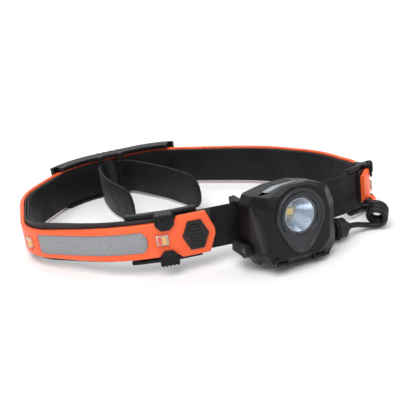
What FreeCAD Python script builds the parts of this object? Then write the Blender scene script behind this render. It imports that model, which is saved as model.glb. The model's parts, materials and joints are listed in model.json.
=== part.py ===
"""Headlamp on an elastic headband with a moulded light band, drawn lying on a flat surface.

Frame: +X to the lamp's left-hand side as a viewer facing the lens sees it on the right, +Y from the
lens towards the back of the head, +Z up. The origin is under the middle of the whole object.
Lengths are millimetres. A "station" is a distance along the strap from the middle of the lamp,
positive towards +X and on round the back of the loop.
"""
import FreeCAD, Part
import math
import os
import Sketcher
from FreeCAD import Placement, Rotation, Vector

os.makedirs("parts", exist_ok=True)
doc = FreeCAD.newDocument("headlamp")

# ---------------------------------------------------------------- driving dimensions
DIMENSIONS = {
    # where the middle of the lamp stands
    "lamp_x": 32.6, "lamp_y": -78.3,
    # strap
    "strap_width": 25.0, "strap_thick": 1.6, "loop_tilt_deg": 17.0,
    # light band
    "band_inner": 2.7, "band_outer": 5.4, "band_low": 3.5, "band_high": 25.0,
    "band_front_low": 2.0, "band_front_high": 23.0, "hex_height": 25.5, "hex_length": 23.0,
    "recess_depth": 0.5, "tape_low": 6.5, "tape_high": 18.5,
    # clips
    "clip_thick": 1.4, "claw_reach": 7.2,
    # rear adjuster
    "rear_inner": 6.2, "rear_outer": 8.7, "rear_low": -2.5, "rear_high": 30.0, "rail_wide": 2.4,
    # lamp head
    "wall": 1.8,
    "head_roll_deg": 5.5, "head_tilt_deg": 6.0, "head_forward": 2.0, "head_lift": 2.5,
    "axis_x": -11.0, "axis_y": -10.0, "axis_z": 8.5, "barrel_radius": 8.5, "pin_radius": 1.5, "pin_clearance": 0.06,
    "ring_radius": 15.3, "ring_bore": 10.6, "lens_radius": 10.4, "lens_thick": 1.6,
    "lens_x": -14.0, "lens_z": 27.3, "ring_front_y": -30.0,
    "cell_radius": 5.25, "cell_length": 44.0, "cell_pitch": 10.55, "cell_low_z": 9.6, "cell_y": -9.3,
    # cable
    "cable_radius": 1.7, "coil_radius": 6.8,
    # buttons
    "hex_button_size": 5.3,
}

sheet = doc.addObject("Spreadsheet::Sheet", "dimensions")
for row, (alias, value) in enumerate(DIMENSIONS.items(), start=1):
    sheet.set("A%d" % row, alias)
    sheet.set("B%d" % row, str(value))
    sheet.setAlias("B%d" % row, alias)
doc.recompute()


def dim(alias):
    """Value of one driving dimension, read back from the sheet."""
    return float(sheet.get(alias))


LAMP = Vector(dim("lamp_x"), dim("lamp_y"), 0)
NODES = []


def keep(obj, label):
    """Name a finished sub-part and put it on the list of nodes."""
    obj.Label = label
    NODES.append(obj)
    return obj


# ---------------------------------------------------------------- the loop that the strap follows
class StrapLoop:
    """Closed convex loop in plan: straight runs joined by tangent arcs, counter-clockwise."""

    def __init__(self, corners):
        points = [Vector(x, y, 0) for x, y, _ in corners]
        radii = [radius for _, _, radius in corners]
        count = len(corners)
        heads = [(points[(i + 1) % count] - points[i]).normalize() for i in range(count)]
        turns = [heads[i - 1].getAngle(heads[i]) for i in range(count)]
        cuts = [radii[i] * math.tan(turns[i] / 2) for i in range(count)]
        self.runs = []
        start = 0.0
        for i in range(count):
            after = (i + 1) % count
            length = points[i].distanceToPoint(points[after]) - cuts[i] - cuts[after]
            first = points[i] + heads[i] * cuts[i]
            self.runs.append(("line", start, length, first, heads[i], 0.0))
            start += length
            inward = Vector(-heads[i].y, heads[i].x, 0)
            centre = first + heads[i] * length + inward * radii[after]
            angle = math.atan2(-inward.y, -inward.x)
            length = turns[after] * radii[after]
            self.runs.append(("arc", start, length, centre, angle, radii[after]))
            start += length
        self.length = start
        self.zero = 0.0
        self.zero = self.station_of_lamp()

    def station_of_lamp(self):
        """Distance along the loop where it crosses the lamp's middle plane at the front."""
        low, high = self.length - 80.0, self.length - 20.0
        for _ in range(60):
            middle = (low + high) / 2
            if self.point(middle).x < 0:
                low = middle
            else:
                high = middle
        return low

    def run_at(self, distance):
        for run in self.runs:
            if distance <= run[1] + run[2] + 1e-9:
                return run
        return self.runs[-1]

    def point(self, station, offset=0.0):
        """Point at a station, moved outwards from the strap's middle surface by offset."""
        distance = (station + self.zero) % self.length
        kind, start, _, base, direction, radius = self.run_at(distance)
        if kind == "line":
            outward = Vector(direction.y, -direction.x, 0)
            return base + direction * (distance - start) + outward * offset
        angle = direction + (distance - start) / radius
        return base + Vector(math.cos(angle), math.sin(angle), 0) * (radius + offset)

    def heading(self, station):
        """Direction of travel at a station, in degrees from +X."""
        before = self.point(station - 0.05)
        after = self.point(station + 0.05)
        return math.degrees(math.atan2(after.y - before.y, after.x - before.x))

    def edges(self, first, last, offset):
        """Edges from one station to a later one, at a constant offset."""
        stations = [first]
        for run in self.runs:
            for lap in (-1, 0, 1):
                joint = run[1] - self.zero + lap * self.length
                if first + 0.01 < joint < last - 0.01:
                    stations.append(joint)
        stations = sorted(stations) + [last]
        made = []
        for a, b in zip(stations, stations[1:]):
            start, middle, end = (self.point(s, offset) for s in (a, (a + b) / 2, b))
            straight = (end - start).cross(middle - start).Length < 1e-6
            if straight:
                made.append(Part.LineSegment(start, end).toShape())
            else:
                made.append(Part.Arc(start, middle, end).toShape())
        return made


LOOP = StrapLoop([(5, -2.5, 170), (64, 11, 17), (70, 60, 75), (42, 112, 150), (-14, 172, 48),
                  (-82, 182, 48), (-122, 146, 50), (-135, 96, 42), (-92, 24, 70)])

# Height of the strap's lower edge, against the distance across the loop along its tilt direction:
# the lamp and the rear plate hold the strap up, and its sides sag towards the surface.
SAG = [(-70, 10.0), (-2, 10.0), (20, 6.0), (40, 3.0), (65, 1.0), (110, 2.5), (240, 2.5)]
TILT = math.radians(dim("loop_tilt_deg"))
ACROSS = Vector(math.sin(TILT), math.cos(TILT), 0)
ALONG = Vector(math.cos(TILT), -math.sin(TILT), 0)
SLAB_HALF = 320.0
TAIL_DROP = 0.3


def edge_height(point):
    """Height of the strap's lower edge at a point given in the lamp's own plan frame."""
    distance = point.dot(ACROSS)
    for (d0, z0), (d1, z1) in zip(SAG, SAG[1:]):
        if d0 <= distance <= d1:
            return z0 + (z1 - z0) * (distance - d0) / (d1 - d0)
    return SAG[-1][1]


def slab(low, high):
    """Solid layer between two heights above the strap's lower edge, over the whole loop."""
    lower = [ACROSS * d - ALONG * SLAB_HALF + Vector(0, 0, z + low) for d, z in SAG]
    upper = [ACROSS * d - ALONG * SLAB_HALF + Vector(0, 0, z + high) for d, z in reversed(SAG)]
    wire = Part.makePolygon(lower + upper + lower[:1])
    return Part.Face(wire).extrude(ALONG * (2 * SLAB_HALF))


def plan_strip(first, last, inner, outer, low=-20.0, high=80.0):
    """Upright prism over a strip of the loop, between two stations and two offsets."""
    outside = LOOP.edges(first, last, outer)
    inside = LOOP.edges(first, last, inner)
    ends = [Part.LineSegment(LOOP.point(s, inner), LOOP.point(s, outer)).toShape()
            for s in (first, last)]
    wire = Part.Wire(Part.__sortEdges__(outside + inside + ends))
    face = Part.Face(wire)
    face.translate(Vector(0, 0, low))
    return face.extrude(Vector(0, 0, high - low))


def strip(first, last, inner, outer, low, high):
    """Strip of the loop that follows the sagging edge between two heights."""
    return plan_strip(first, last, inner, outer).common(slab(low, high)).removeSplitter()


def joined(shapes):
    """One clean solid out of several that overlap or share faces."""
    whole = shapes[0].fuse(shapes[1:])
    return whole.removeSplitter()


def feature(label, shape, placement=None):
    """Sub-part whose shape follows the loop; it stands where the lamp does."""
    obj = doc.addObject("Part::Feature", label)
    if shape.ShapeType == "Compound" and len(shape.Solids) == 1:
        shape = shape.Solids[0]
    obj.Shape = shape
    obj.Placement = placement or Placement(LAMP, Rotation())
    return keep(obj, label)


# ---------------------------------------------------------------- straps
def build_straps():
    half = dim("strap_thick") / 2
    width = dim("strap_width")
    for label, first, last in (("front_strap", -97, 62), ("right_strap", 62.3, 277.4),
                               ("left_strap", 294.6, LOOP.length - 97.3)):
        feature(label, strip(first, last, -half, half, 0, width))


def tail(label, points, radii, tip_radius):
    """Free end of a strap: a hanging ribbon with a rounded tip."""
    half = dim("strap_thick") / 2
    path = rounded_path([Vector(x, y, 0) for x, y in points], radii)
    sides = [path.makeOffset2D(side, 0, False, True) for side in (half, -half)]
    ends = []
    for pick in (0, -1):
        spot = path.OrderedVertexes[pick].Point
        near = [min(side.Vertexes, key=lambda v: v.Point.distanceToPoint(spot)).Point for side in sides]
        ends.append(Part.LineSegment(*near).toShape())
    profile = Part.Face(Part.Wire(Part.__sortEdges__(sides[0].Edges + sides[1].Edges + ends)))
    profile.translate(Vector(0, 0, SAG[-1][1] + TAIL_DROP))
    ribbon = profile.extrude(Vector(0, 0, dim("strap_width") - 2 * TAIL_DROP))
    tip = Vector(points[-1][0], points[-1][1], 0)
    corners = []
    for edge in ribbon.Edges:
        middle = edge.CenterOfMass
        at_tip = Vector(middle.x, middle.y, 0).distanceToPoint(tip) < 0.1
        if at_tip and abs(edge.Length - 2 * half) < 0.1:
            corners.append(edge)
    feature(label, ribbon.makeFillet(tip_radius, corners))


def rounded_path(points, radii):
    """Wire of straight runs joined by tangent arcs through a list of corners."""
    edges = []
    start = points[0]
    for before, corner, after, radius in zip(points, points[1:], points[2:], radii):
        into = (corner - before).normalize()
        out = (after - corner).normalize()
        turn = into.getAngle(out)
        cut = radius * math.tan(turn / 2)
        first = corner - into * cut
        last = corner + out * cut
        bisector = (out - into).normalize()
        middle = corner + bisector * (radius / math.cos(turn / 2) - radius)
        edges.append(Part.LineSegment(start, first).toShape())
        edges.append(Part.Arc(first, middle, last).toShape())
        start = last
    edges.append(Part.LineSegment(start, points[-1]).toShape())
    return Part.Wire(edges)


def build_tails():
    inside = -(dim("strap_thick") + 0.7 + BAR_DEEP + 0.05)
    left, right = (LOOP.point(station, inside) for station in reversed(REAR_BARS))
    tail("left_strap_tail", [(left.x, left.y), (-66, 152), (-67.6, 131), (-65.5, 112), (-63.5, 98)],
         (60, 70, 70), 10)
    tail("right_strap_tail", [(right.x, right.y), (-34.5, 153), (-26, 131), (-21, 109), (-18, 88)],
         (90, 90, 90), 11)


# ---------------------------------------------------------------- light band
BAND_RIGHT, BAND_LEFT = 55.0, LOOP.length - 46.2
HEX_MIDDLE = LOOP.length - 58.5
TAPER = LOOP.length - 102.0
NECK = LOOP.length - 68.5
TAPES = (("left_reflector", LOOP.length - 163.0, LOOP.length - 84.5), ("right_reflector", 84.5, 163.0))
# station and height above the strap's lower edge of each light in the band
LIGHTS = (("front_left", LOOP.length - 76.8, 12.5), ("left", LOOP.length - 172.0, 12.0),
          ("right", 172.0, 12.0), ("front_right", 69.0, 12.0))
LIGHT_HALF = 3.8
GLAND_RADIUS, GLAND_LENGTH = 2.5, 4.6


def stand(station, offset, height):
    """Placement at a station: local Y points outwards, local X along the strap, local Z up."""
    base = LOOP.point(station, offset)
    base.z = edge_height(LOOP.point(station)) + height
    return Placement(base + LAMP, Rotation(Vector(0, 0, 1), LOOP.heading(station) + 180))


def plan_point(placement, shape):
    """Copy of a shape made at the origin, moved to a placement, back in the lamp's plan frame."""
    moved = shape.copy()
    moved.Placement = placement
    moved.translate(-LAMP)
    return moved


def hexagon(half_wide, half_tall, thick, flat):
    """Flat six-sided plate with upright pointed ends, standing in the XZ plane."""
    outline = [Vector(half_wide, 0, 0), Vector(flat, 0, half_tall), Vector(-flat, 0, half_tall),
               Vector(-half_wide, 0, 0), Vector(-flat, 0, -half_tall), Vector(flat, 0, -half_tall)]
    face = Part.Face(Part.makePolygon(outline + outline[:1]))
    return face.extrude(Vector(0, thick, 0))


def light_pocket(station, height, inner, outer, half):
    """Upright block through the band at one light."""
    block = Part.makeBox(2 * half, outer - inner, 2 * half, Vector(-half, inner, -half))
    return plan_point(stand(station, 0, height), block)


def build_band():
    inner, outer = dim("band_inner"), dim("band_outer")
    low, high = dim("band_low"), dim("band_high")
    front_low, front_high = dim("band_front_low"), dim("band_front_high")
    thick = outer - inner
    hexed = hexagon(dim("hex_length") / 2, dim("hex_height") / 2, thick, dim("hex_length") / 2 - 5.5)
    hexed = plan_point(stand(HEX_MIDDLE, inner, dim("hex_height") / 2), hexed)
    band = joined([strip(BAND_RIGHT, TAPER, inner, outer, low, high),
                   strip(TAPER, NECK, inner, outer, front_low, front_high), hexed,
                   strip(NECK, NECK + 6, inner, outer, low, high)])
    for _, first, last in TAPES:
        band = band.cut(strip(first, last, outer - dim("recess_depth"), outer + 2,
                              dim("tape_low"), dim("tape_high")))
    for _, station, height in LIGHTS:
        band = band.cut(light_pocket(station, height, 0, 9, LIGHT_HALF))
    socket = hexagon(HEX_SOCKET, HEX_SOCKET * 1.17, 2 * thick, HEX_SOCKET * 0.5)
    band = band.cut(plan_point(stand(HEX_MIDDLE, inner - 1, dim("hex_height") / 2), socket))
    feature("light_band", band.removeSplitter())
    backing = strip(BAND_RIGHT, TAPER, inner - 1.4, inner - 0.6, low, high)
    backing = joined([backing, strip(TAPER, BAND_LEFT - 2, inner - 1.4, inner - 0.6, low, high)])
    feature("band_backing", backing)
    circuit = strip(BAND_RIGHT + 4, BAND_LEFT - 4, inner - 0.5, inner - 0.1, low + 6, low + 12)
    feature("flex_circuit", circuit)
    for label, first, last in TAPES:
        tape = strip(first + 0.1, last - 0.1, outer - dim("recess_depth"), outer - 0.1,
                     dim("tape_low") + 0.1, dim("tape_high") - 0.1)
        feature(label, tape)


HEX_SOCKET = 6.5


def build_band_lights():
    """Clear lens and chip of each light, in the square pockets of the band."""
    inner, outer = dim("band_inner"), dim("band_outer")
    chips = []
    for name, station, height in LIGHTS:
        half = LIGHT_HALF - 0.1
        proud = 1.4
        outside = Part.makeBox(2 * half, outer - inner + proud - 0.4, 2 * half,
                               Vector(-half, inner + 0.4, -half))
        edges = [e for e in outside.Edges if e.CenterOfMass.y > inner + 1]
        outside = outside.makeFillet(0.9, edges)
        hollow = Part.makeBox(2 * half - 2, 2.0, 2 * half - 2, Vector(1 - half, inner + 0.4, 1 - half))
        lens = outside.cut(hollow)
        lens.Placement = Placement()
        feature("band_lens_" + name, lens, stand(station, 0, height))
        chip = Part.makeBox(3.0, 1.2, 3.0, Vector(-1.5, inner + 0.4, -1.5))
        chips.append(plan_point(stand(station, 0, height), chip))
    feature("band_leds", Part.makeCompound(chips))


# ---------------------------------------------------------------- strap clips
def build_clip(label, first, last, claw_first, claw_last, reach):
    """Moulded frame behind the strap whose claws hook over the light band."""
    thick = dim("clip_thick")
    back = -dim("strap_thick") / 2 - 0.3
    width = dim("strap_width")
    front = dim("strap_thick") / 2 + 0.35
    top, bottom = width + 0.4, -0.4
    outer = dim("band_outer") + 0.35
    low_claw = dim("band_front_low")
    high_claw = dim("band_front_high")
    pieces = [strip(first, last, back - thick, front, top, top + RAIL_TALL),
              strip(first, last, back - thick, front, bottom - RAIL_TALL, bottom),
              strip(first + 3, last - 3, back - thick, back, bottom - 0.2, top + 0.2),
              strip(claw_first, claw_last, front, reach, top, top + RAIL_TALL),
              strip(claw_first, claw_last, front, reach, bottom - RAIL_TALL, bottom),
              strip(claw_first, claw_last, outer, reach, high_claw - 2.5, top + 0.2),
              strip(claw_first, claw_last, outer, reach, bottom - 0.2, low_claw + 2.5)]
    feature(label, joined(pieces))


RAIL_TALL = 2.4


def build_clips():
    reach = dim("claw_reach")
    full = LOOP.length
    build_clip("left_clip", full - 97, full - 55.5, full - 79.5, full - 69.5, reach)
    build_clip("right_clip", 46.5, 74, 62.2, 70.5, reach)


# ---------------------------------------------------------------- rear adjuster
REAR_FIRST, REAR_LAST = 237.5, 329.0
REAR_BARS = (278.4, 293.6)
BAR_DEEP = 2.2


def build_rear():
    inner, outer = dim("rear_inner"), dim("rear_outer")
    low, high = dim("rear_low"), dim("rear_high")
    wide = dim("rail_wide")
    inside = -dim("strap_thick") / 2 - 0.7
    wall = strip(REAR_FIRST, REAR_LAST, inner, outer, low, high)
    rim = [strip(REAR_FIRST + 3, REAR_LAST - 3, inside, inner + 0.2, high - wide, high),
           strip(REAR_FIRST + 3, REAR_LAST - 3, inside, inner + 0.2, low, low + 2.0)]
    ribs = []
    for k in range(4):
        station = (REAR_BARS[0] + REAR_BARS[1]) / 2 + (k - 1.5) * 5.0
        ribs.append(strip(station - 1.1, station + 1.1, outer - 0.2, outer + 0.9, low + 3, high))
    feature("rear_plate", joined([wall] + rim + ribs))
    for label, station in zip(("right_adjuster_bar", "left_adjuster_bar"), REAR_BARS):
        bar = strip(station - 1.8, station + 1.8, inside - BAR_DEEP, inside, low, high)
        feature(label, bar)


# ---------------------------------------------------------------- how the lamp sits
# The lamp leans to one side on the strap, and its head is tipped back a little about its axis.
# "Own frame" below is the lamp's frame before that: X along the tilt axis, -Y out of the lens.
def lamp_frame(tilt_deg):
    """Placement of the lamp's own frame, with the head tipped back by an angle."""
    pivot = Vector(dim("axis_x"), dim("axis_y"), dim("axis_z"))
    turn = Rotation(Vector(0, 1, 0), dim("head_roll_deg")) * Rotation(Vector(1, 0, 0), -tilt_deg)
    middle = LAMP + pivot + Vector(0, -dim("head_forward"), dim("head_lift"))
    return Placement(middle, turn) * Placement(-pivot, Rotation())


BRACKET_FRAME = lamp_frame(0.0)
HEAD_FRAME = lamp_frame(dim("head_tilt_deg"))


# ---------------------------------------------------------------- simple solids bound to the sheet
def bind(obj, **expressions):
    for name, expression in expressions.items():
        obj.setExpression(name.replace("__", "."), expression)
    return obj


def place(obj, x, y, z):
    """Put a solid at a point of the lamp head's own frame, given as expressions over the sheet."""
    spot = Vector(*[sheet_value(str(value)) for value in (x, y, z)])
    obj.Placement = HEAD_FRAME * Placement(spot, obj.Placement.Rotation)
    return obj


def box(name, size, at):
    obj = doc.addObject("Part::Box", name)
    bind(obj, Length=str(size[0]), Width=str(size[1]), Height=str(size[2]))
    return place(obj, *at)


def rod(name, radius, length, at, axis=Vector(1, 0, 0)):
    obj = doc.addObject("Part::Cylinder", name)
    obj.Placement = Placement(Vector(), Rotation(Vector(0, 0, 1), axis))
    bind(obj, Radius=str(radius), Height=str(length))
    return place(obj, *at)


def plus(name, parts):
    obj = doc.addObject("Part::MultiFuse", name + "_fuse")
    obj.Shapes = parts
    obj.Refine = True
    return obj


def turned(label, profile, at):
    """Body revolved about the lens axis: profile points are radius and distance to the front."""
    body = doc.addObject("PartDesign::Body", label)
    plane = next(f for f in body.Origin.OriginFeatures if f.Role == "XY_Plane")
    sketch = body.newObject("Sketcher::SketchObject", label + "_profile")
    sketch.AttachmentSupport = (plane, "")
    sketch.MapMode = "FlatFace"
    values = [tuple(float(sheet_value(e)) for e in point) for point in profile]
    count = len(values)
    for i, (r, y) in enumerate(values):
        r2, y2 = values[(i + 1) % count]
        sketch.addGeometry(Part.LineSegment(Vector(r, y, 0), Vector(r2, y2, 0)), False)
    for i in range(count):
        sketch.addConstraint(Sketcher.Constraint("Coincident", i, 2, (i + 1) % count, 1))
    for i, (r, y) in enumerate(profile):
        for kind, expression, value in (("DistanceX", r, values[i][0]), ("DistanceY", y, values[i][1])):
            if abs(value) < 1e-9:
                axis = -2 if kind == "DistanceX" else -1
                sketch.addConstraint(Sketcher.Constraint("PointOnObject", i, 1, axis))
                continue
            index = sketch.addConstraint(Sketcher.Constraint(kind, -1, 1, i, 1, value))
            sketch.setExpression("Constraints[%d]" % index, expression)
    revolution = body.newObject("PartDesign::Revolution", label + "_turn")
    revolution.Profile = sketch
    revolution.ReferenceAxis = (sketch, ["V_Axis"])
    revolution.Angle = 360
    sketch.Visibility = False
    place(body, *at)
    return keep(body, label)


def sheet_value(expression):
    """Number that an expression over the sheet's cells stands for."""
    probe = doc.getObject("probe") or doc.addObject("App::FeaturePython", "probe")
    if "value" not in probe.PropertiesList:
        probe.addProperty("App::PropertyFloat", "value")
    probe.setExpression("value", expression)
    probe.recompute()
    return probe.value


# ---------------------------------------------------------------- lamp head housing
# Corners of the head seen from the front: x from the lamp's middle, z above the surface, radius.
WIDE = [(-37.2, 6, 3), (-34, 0.5, 2.5), (12, 0.5, 3), (15, 5, 3), (15, 32, 5), (9.5, 40, 6),
        (-6, 43, 7), (-22, 42, 6), (-34.5, 39, 3), (-37.2, 34, 4)]
MIDDLE = [(-33.5, 7, 3), (-30, 0.5, 2.5), (6, 0.5, 3), (10.8, 6, 3), (11, 31, 5), (7, 40.5, 5),
          (-5, 44.3, 6), (-20, 44, 6), (-31, 38.5, 3), (-33.5, 33, 4)]
NARROW = [(-29.5, 12, 3), (-25, 4.5, 2.5), (-3, 4.5, 3), (4.5, 11, 3), (5.5, 27, 5), (3, 38, 4.5),
          (-7, 43.4, 5), (-19, 43.4, 5), (-27, 39.5, 4), (-30.5, 33, 3)]
REAR_Y, SPLIT_Y, FLANK_Y, FACE_Y = -1.6, -13.0, -24.0, -28.2


def outline(corners, y, inset=0.0):
    """Rounded polygon in an upright plane, optionally drawn smaller by a wall's thickness."""
    points = [Vector(x, y, z) for x, z, radius in corners]
    arcs = []
    count = len(points)
    for i in range(count):
        before, corner, after = points[i - 1], points[i], points[(i + 1) % count]
        radius = corners[i][2]
        into, out = (corner - before).normalize(), (after - corner).normalize()
        turn = into.getAngle(out)
        cut = radius * math.tan(turn / 2)
        first, last = corner - into * cut, corner + out * cut
        bisector = (out - into).normalize()
        middle_point = corner + bisector * (radius / math.cos(turn / 2) - radius)
        arcs.append((first, middle_point, last))
    made = []
    for i in range(count):
        first, middle_point, last = arcs[i]
        made.append(Part.Arc(first, middle_point, last).toShape())
        made.append(Part.LineSegment(last, arcs[(i + 1) % count][0]).toShape())
    wire = Part.Wire(made)
    if inset:
        wire = wire.makeOffset2D(-inset)
    return wire


def head_block(inset, rear, face):
    """Solid of the whole head between two planes, drawn smaller by the wall's thickness."""
    back = Part.Face(outline(WIDE, rear, inset)).extrude(Vector(0, SPLIT_Y - rear, 0))
    flank = Part.makeLoft([outline(WIDE, SPLIT_Y, inset), outline(MIDDLE, FLANK_Y, inset)], True, True)
    front = Part.makeLoft([outline(MIDDLE, FLANK_Y, inset), outline(NARROW, face, inset)], True, True)
    return back.fuse([flank, front])


def barrel_block(radius):
    """Everything in front of the head's back and above its rounded lower rear edge."""
    axis = Vector(-60, dim("axis_y"), dim("axis_z"))
    barrel = Part.makeCylinder(radius, 100, axis, Vector(1, 0, 0))
    above = Part.makeBox(100, 60, 60, Vector(-60, -61.6 + (radius - dim("barrel_radius")), dim("axis_z")))
    ahead = Part.makeBox(100, 60, 60, Vector(-60, dim("axis_y") - 60, -1))
    return above.fuse([barrel, ahead])


DOOR_WIDE = (-34.2, 10.4)
DOOR_NARROW = (-29.0, 6.0)
DOOR_FRONT_Y, DOOR_STEP_Y, DOOR_BACK_Y, DOOR_TOP_Z = -24.5, -15.0, -10.4, 6.4
HINGE_Y, HINGE_Z, KNUCKLE = -25.7, 1.3, 1.2
BUTTON_LOW_Z = 40.7
KNUCKLES = ((-28.5, -23.5), (-4.5, 0.5))
BUTTON_PLAN = [(-32, -15.4), (-21, -13.9), (-9, -13.9), (-7.5, -16.4), (-20, -20.6), (-30, -18.2)]


def block(x0, x1, y0, y1, z0, z1):
    return Part.makeBox(x1 - x0, y1 - y0, z1 - z0, Vector(x0, y0, z0))


def across(radius, x0, x1, y, z):
    """Round bar along X."""
    return Part.makeCylinder(radius, x1 - x0, Vector(x0, y, z), Vector(1, 0, 0))


def button_prism(gap, low, high):
    wire = Part.makePolygon([Vector(x, y, low) for x, y in BUTTON_PLAN + BUTTON_PLAN[:1]])
    if gap:
        wire = wire.makeOffset2D(gap)
    return Part.Face(wire).extrude(Vector(0, 0, high - low))


def build_housings():
    wall = dim("wall")
    axis_y, axis_z = dim("axis_y"), dim("axis_z")
    outer = head_block(0, REAR_Y, FACE_Y).common(barrel_block(dim("barrel_radius")))
    inner = head_block(wall, REAR_Y - wall, FACE_Y + wall)
    inner = inner.common(barrel_block(dim("barrel_radius") - wall))
    shell = outer.cut(inner)
    gap = 0.3
    openings = [block(DOOR_NARROW[0] - gap, DOOR_NARROW[1] + gap, DOOR_FRONT_Y - gap, DOOR_STEP_Y, -1, 2.8),
                block(DOOR_WIDE[0] - gap, DOOR_WIDE[1] + gap, DOOR_STEP_Y - gap, axis_y, -1, 4.4),
                block(DOOR_WIDE[0] - gap, DOOR_WIDE[1] + gap, axis_y - 0.1, 5, -1, DOOR_TOP_Z + gap),
                across(dim("pin_radius") + dim("pin_clearance"), -50, 30, axis_y, axis_z),
                Part.makeCylinder(dim("ring_bore") + 0.6, 12,
                                  Vector(dim("lens_x"), FACE_Y + 8, dim("lens_z")), Vector(0, -1, 0)),
                button_prism(gap, 36, 60)]
    for first, last in KNUCKLES:
        openings.append(block(first - gap, last + gap, HINGE_Y - KNUCKLE - gap, DOOR_FRONT_Y, -1,
                              HINGE_Z + KNUCKLE + gap))
    for tool in openings:
        shell = shell.cut(tool)
    rear = shell.common(block(-70, 50, SPLIT_Y + 0.05, 10, -10, 70))
    front = shell.common(block(-70, 50, -60, SPLIT_Y - 0.05, -10, 70))
    for first, last in KNUCKLES:
        for x0, x1 in ((first - 1.7, first - gap), (last + gap, last + 1.7)):
            lug = block(x0, x1, HINGE_Y - KNUCKLE, HINGE_Y + 0.6, HINGE_Z - 0.8, 5.0)
            front = front.fuse(lug.cut(across(0.66, -60, 60, HINGE_Y, HINGE_Z)))
    front = front.cut(inner)
    feature("rear_housing", rear.removeSplitter(), HEAD_FRAME)
    feature("front_housing", front.removeSplitter(), HEAD_FRAME)


def build_door():
    axis_y, axis_z = dim("axis_y"), dim("axis_z")
    radius = dim("barrel_radius")
    curl = across(radius, DOOR_WIDE[0], DOOR_WIDE[1], axis_y, axis_z)
    curl = curl.cut(across(radius - 1.3, -60, 60, axis_y, axis_z))
    curl = curl.common(block(-60, 60, DOOR_BACK_Y - 1, 5, -1, DOOR_TOP_Z))
    pieces = [block(DOOR_NARROW[0], DOOR_NARROW[1], DOOR_FRONT_Y, DOOR_STEP_Y + 0.5, 0, 1.6),
              block(DOOR_WIDE[0], DOOR_WIDE[1], DOOR_STEP_Y, DOOR_BACK_Y, 0, 1.6),
              block(DOOR_WIDE[0], DOOR_WIDE[1], DOOR_BACK_Y - 1.2, DOOR_BACK_Y, 0, 3.6), curl]
    for first, last in KNUCKLES:
        pieces.append(across(KNUCKLE, first, last, HINGE_Y, HINGE_Z))
        pieces.append(block(first, last, HINGE_Y, DOOR_FRONT_Y + 0.4, HINGE_Z - 1.1, 1.5))
    door = joined(pieces)
    door = door.cut(across(0.66, -60, 60, HINGE_Y, HINGE_Z))
    feature("battery_door", door, HEAD_FRAME)
    pins = [across(0.6, first - 1.6, last + 1.6, HINGE_Y, HINGE_Z) for first, last in KNUCKLES]
    feature("door_hinge_pins", Part.makeCompound(pins), HEAD_FRAME)
    seal = block(-33.4, 9.6, -14.6, -11.9, 1.9, 2.5).cut(block(-32.2, 8.4, -13.8, -12.7, 1, 3))
    feature("door_seal", seal, HEAD_FRAME)


def build_bracket():
    """Plate in front of the strap, two slots that hold it, and an arm at each end for the head."""
    axis_y, axis_z = dim("axis_y"), dim("axis_z")
    plate = block(-34.5, 12, -0.6, 1.2, 6.5, 34)
    pieces = [plate]
    width = dim("strap_width")
    for first, last in ((-34.5, -31.0), (8.5, 12.0)):
        middle = LOOP.point((first + last) / 2)
        low = edge_height(middle) - 0.6
        high = low + width + 1.4
        back = middle.y + dim("strap_thick") / 2 + 0.8
        pieces.append(block(first, last, 0, back + 1.6, low - 2.4, low))
        pieces.append(block(first, last, 0, back + 1.6, high, high + 2.4))
        pieces.append(block(first, last, back, back + 1.6, low - 2.4, high + 2.4))
    arms = []
    root = 1.0 + dim("head_forward")
    for x0, x1 in ((-40.9, -37.7), (15.5, 19.5)):
        arms.append(across(4.2, x0, x1, axis_y, axis_z))
        arms.append(block(x0, x1, axis_y, root, axis_z - 3.6, axis_z + 3.6))
    arms.append(block(-40.9, 19.5, root - 1.6, root, axis_z - 3.6, axis_z + 3.6))
    pivot_hole = across(dim("pin_radius"), -60, 18.5, axis_y, axis_z)
    pieces.append(plan_point(BRACKET_FRAME, joined(arms)))
    bracket = joined(pieces).cut(plan_point(BRACKET_FRAME, pivot_hole))
    feature("strap_bracket", bracket)
    feature("left_tilt_pin", across(dim("pin_radius"), -40.8, -35.8, axis_y, axis_z), BRACKET_FRAME)
    feature("right_tilt_pin", across(dim("pin_radius"), 13.5, 18.5, axis_y, axis_z), BRACKET_FRAME)


# ---------------------------------------------------------------- inside the lamp head
def build_optics():
    lens_x, lens_z = "dimensions.lens_x", "dimensions.lens_z"
    at = (lens_x, "dimensions.ring_front_y", lens_z)
    ring, bore = "dimensions.ring_radius", "dimensions.ring_bore"
    turned("bezel_ring", [(bore, "1.1"), (ring + " - 1.6", "0.25"), (ring + " - 0.9", "0.0001"),
                          (ring, "0.6"), (ring, "1.75"), (bore, "1.75")], at)
    turned("main_lens", [("0", "0.9"), ("dimensions.lens_radius", "1.3"),
                         ("dimensions.lens_radius", "1.3 + dimensions.lens_thick"),
                         ("0", "1.3 + dimensions.lens_thick")], at)
    turned("lens_seal", [("9.2", "2.95"), ("10.4", "2.95"), ("10.4", "3.9"), ("9.2", "3.9")], at)
    turned("reflector_cup", [("3.2", "13.2"), ("8.9", "3.0"), ("9.1", "3.0"), ("9.1", "3.6"),
                             ("4.2", "13.4"), ("4.2", "13.9"), ("3.2", "13.9")], at)
    turned("led_board", [("0", "14.0"), ("9.0", "14.0"), ("9.0", "15.2"), ("0", "15.2")], at)
    keep(box("main_led", (3.4, 1.5, 3.4), (lens_x + " - 1.7", "dimensions.ring_front_y + 12.4",
                                          lens_z + " - 1.7")), "main_led")


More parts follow.
